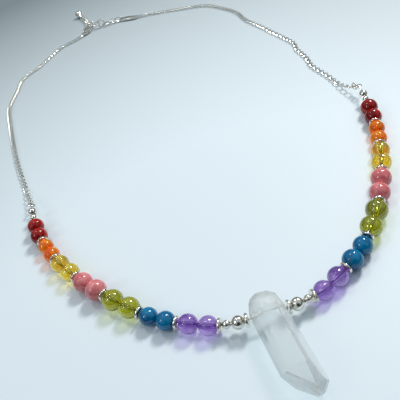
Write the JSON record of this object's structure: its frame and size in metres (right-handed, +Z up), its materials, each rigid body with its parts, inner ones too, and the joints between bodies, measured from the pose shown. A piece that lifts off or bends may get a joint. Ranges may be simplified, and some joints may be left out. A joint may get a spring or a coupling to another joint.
{
  "type": "chakra necklace",
  "caption": "Lying necklace of round stones in rainbow order round a drilled quartz point, closed by a twisted curb chain with a lobster clasp and an extender.",
  "frame": {"origin": "middle of the lying necklace, on the table", "axes": "+Z up from the table, +Y from the pendant toward the clasp, +X to the right"},
  "size_m": [0.1542, 0.2996, 0.0084],
  "materials": {
    "silver": "polished silver",
    "quartz": "natural crystal, clear with a frosted top",
    "violet_stone": "polished transparent",
    "blue_stone": "polished",
    "green_stone": "polished transparent",
    "pink_stone": "polished, mottled",
    "yellow_stone": "polished transparent",
    "orange_stone": "polished, translucent",
    "red_stone": "polished"
  },
  "bodies": {
    "necklace": {"quartz_point": "quartz", "bead_wire": "silver", "large_silver_bead_left": "silver", "large_silver_bead_right": "silver", "small_silver_bead_left": "silver", "small_silver_bead_right": "silver", "rondelles_left": "silver", "rondelles_right": "silver", "spacer_bead_left": "silver", "spacer_bead_right": "silver", "crimp_cover_left": "silver", "crimp_cover_right": "silver", "violet_bead_left_1": "violet_stone", "violet_bead_left_2": "violet_stone", "violet_bead_right_1": "violet_stone", "violet_bead_right_2": "violet_stone", "blue_bead_left_1": "blue_stone", "blue_bead_left_2": "blue_stone", "blue_bead_right_1": "blue_stone", "blue_bead_right_2": "blue_stone", "green_bead_left_1": "green_stone", "green_bead_left_2": "green_stone", "green_bead_right_1": "green_stone", "green_bead_right_2": "green_stone", "pink_bead_left_1": "pink_stone", "pink_bead_left_2": "pink_stone", "pink_bead_right_1": "pink_stone", "pink_bead_right_2": "pink_stone", "yellow_bead_left_1": "yellow_stone", "yellow_bead_left_2": "yellow_stone", "yellow_bead_right_1": "yellow_stone", "yellow_bead_right_2": "yellow_stone", "orange_bead_left_1": "orange_stone", "orange_bead_left_2": "orange_stone", "orange_bead_right_1": "orange_stone", "orange_bead_right_2": "orange_stone", "red_bead_left_1": "red_stone", "red_bead_left_2": "red_stone", "red_bead_right_1": "red_stone", "red_bead_right_2": "red_stone", "jump_ring_left": "silver", "jump_ring_right_1": "silver", "jump_ring_right_2": "silver", "chain_left": "silver", "chain_right": "silver", "connector": "silver", "connector_chain": "silver", "jump_ring_clasp": "silver", "clasp_body": "silver", "jump_ring_extender": "silver", "extender_chain": "silver", "end_charm": "silver"},
    "lever": {"clasp_lever": "silver"}
  },
  "joints": [
    {"name": "clasp_lever_hinge", "type": "hinge", "parent": "necklace", "child": "lever", "pos_m": [-0.02888, 0.11545, 0.00135], "axis": [0, 0, 1], "range_deg": [0, 12], "stiffness_Nm_per_rad": 0.0001}
  ]
}
